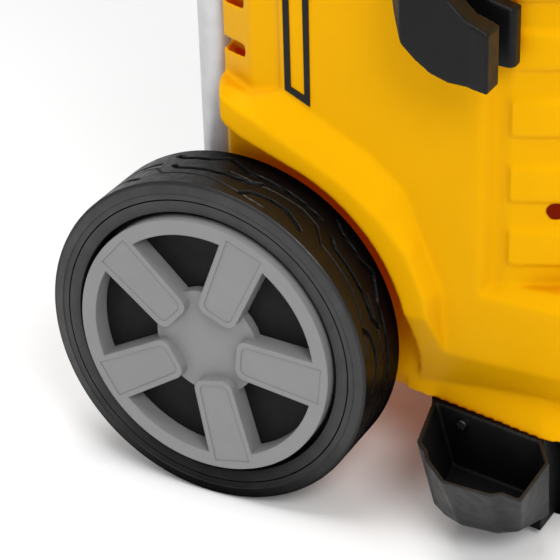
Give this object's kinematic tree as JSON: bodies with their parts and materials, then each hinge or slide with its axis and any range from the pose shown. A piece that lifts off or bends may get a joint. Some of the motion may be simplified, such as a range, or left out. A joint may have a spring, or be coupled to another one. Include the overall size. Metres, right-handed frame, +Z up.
{
  "type": "pressure washer",
  "caption": "Upright wheeled electric pressure washer with a moulded housing, telescoping handle, lance cup and holder, and a motor and piston pump inside.",
  "frame": {"origin": "on the ground, under the middle of the object's overall width and depth", "axes": "+Z up, the front faces -Y, the lance cup is on the -X side"},
  "size_m": [0.426, 0.416, 0.6865],
  "materials": {
    "body_plastic": "satin moulded plastic, fine grain",
    "black_plastic": "fine grained black plastic",
    "dark_plastic": "dark grey moulded plastic",
    "cap_plastic": "mid grey satin plastic",
    "wheel_plastic": "black wheel plastic",
    "tyre_rubber": "moulded rubber with a fine texture",
    "foot_rubber": "plain rubber",
    "tube_aluminium": "anodised, fine drawn lines",
    "steel": "plated steel",
    "spring_steel": "bright spring wire",
    "cast_aluminium": "as cast",
    "brass": "machined brass",
    "lamination": "stacked steel and copper windings",
    "nylon": "natural nylon",
    "tank_plastic": "translucent white blow moulding",
    "label": "printed film",
    "grip_rubber": "soft grip rubber"
  },
  "bodies": {
    "chassis": {"accessory_screws": "steel", "axle": "steel", "axle_clips": "steel", "axle_spacers": "steel", "base_frame": "dark_plastic", "bearings": "steel", "cable_gland": "black_plastic", "capacitor": "cast_aluminium", "cord_hook_lower": "black_plastic", "detergent_tank": "tank_plastic", "fan_cowl": "black_plastic", "front_feet": "foot_rubber", "housing_screws": "steel", "lance_cup": "dark_plastic", "lance_holder": "black_plastic", "left_housing": "body_plastic", "lower_bell": "cast_aluminium", "motor_can": "cast_aluminium", "outer_tubes": "tube_aluminium", "piston_spring_1": "spring_steel", "piston_spring_2": "spring_steel", "piston_spring_3": "spring_steel", "pressure_switch": "black_plastic", "pump_body": "cast_aluminium", "pump_bracket": "steel", "pump_manifold": "cast_aluminium", "right_housing": "body_plastic", "rubber_mounts": "foot_rubber", "side_labels": "label", "stator": "lamination", "switch_body": "black_plastic", "top_cover": "black_plastic", "tube_brackets": "black_plastic", "tube_collars": "black_plastic", "unloader_valve": "brass", "upper_bell": "cast_aluminium", "water_inlet": "brass", "water_outlet": "brass"},
    "left_wheel": {"left_tyre": "tyre_rubber", "left_rim": "wheel_plastic", "left_hub_cap": "cap_plastic", "left_bush": "nylon"},
    "right_wheel": {"right_tyre": "tyre_rubber", "right_rim": "wheel_plastic", "right_hub_cap": "cap_plastic", "right_bush": "nylon"},
    "handle": {"handle_tube": "tube_aluminium", "handle_grip": "grip_rubber", "release_spring": "spring_steel"},
    "release_button": {"release_button": "dark_plastic"},
    "power_knob": {"power_knob": "black_plastic"},
    "tank_cap": {"tank_cap": "black_plastic"},
    "cord_hook": {"cord_hook_upper": "black_plastic"},
    "rotor": {"motor_shaft": "steel", "rotor_core": "lamination", "cooling_fan": "nylon", "swash_plate": "steel"},
    "piston_1": {"piston_1": "steel"},
    "piston_2": {"piston_2": "steel"},
    "piston_3": {"piston_3": "steel"}
  },
  "joints": [
    {"name": "left_wheel_spin", "type": "hinge", "parent": "chassis", "child": "left_wheel", "pos_m": [-0.158, 0.081, 0.127], "axis": [1, 0, 0], "continuous": true},
    {"name": "right_wheel_spin", "type": "hinge", "parent": "chassis", "child": "right_wheel", "pos_m": [0.158, 0.081, 0.127], "axis": [1, 0, 0], "continuous": true},
    {"name": "handle_slide", "type": "slide", "parent": "chassis", "child": "handle", "axis": [0, 0, 1], "range_m": [0, 0.29]},
    {"name": "release_button_press", "type": "slide", "parent": "handle", "child": "release_button", "axis": [0, 0, -1], "range_m": [0, 0.0035], "stiffness_N_per_m": 600, "springref_m": -0.002, "deforming": ["release_spring"]},
    {"name": "power_knob_turn", "type": "hinge", "parent": "chassis", "child": "power_knob", "pos_m": [-0.052, -0.03, 0.545], "axis": [0, 0, 1], "range_deg": [-90, 0]},
    {"name": "tank_cap_turn", "type": "hinge", "parent": "chassis", "child": "tank_cap", "pos_m": [0.062, -0.124, 0.545], "axis": [0, 0, 1], "range_deg": [0, 120]},
    {"name": "cord_hook_swing", "type": "hinge", "parent": "chassis", "child": "cord_hook", "pos_m": [0.15, -0.03, 0.43], "axis": [1, 0, 0], "range_deg": [0, 180]},
    {"name": "rotor_spin", "type": "hinge", "parent": "chassis", "child": "rotor", "pos_m": [0, -0.04, 0.35], "axis": [0, 0, 1], "continuous": true},
    {"name": "piston_1_stroke", "type": "slide", "parent": "chassis", "child": "piston_1", "axis": [0, 0, -1], "range_m": [0, 0.007], "stiffness_N_per_m": 2000, "springref_m": -0.003, "deforming": ["piston_spring_1"]},
    {"name": "piston_2_stroke", "type": "slide", "parent": "chassis", "child": "piston_2", "axis": [0, 0, -1], "range_m": [0, 0.007], "stiffness_N_per_m": 2000, "springref_m": -0.003, "deforming": ["piston_spring_2"]},
    {"name": "piston_3_stroke", "type": "slide", "parent": "chassis", "child": "piston_3", "axis": [0, 0, -1], "range_m": [0, 0.007], "stiffness_N_per_m": 2000, "springref_m": -0.003, "deforming": ["piston_spring_3"]}
  ]
}
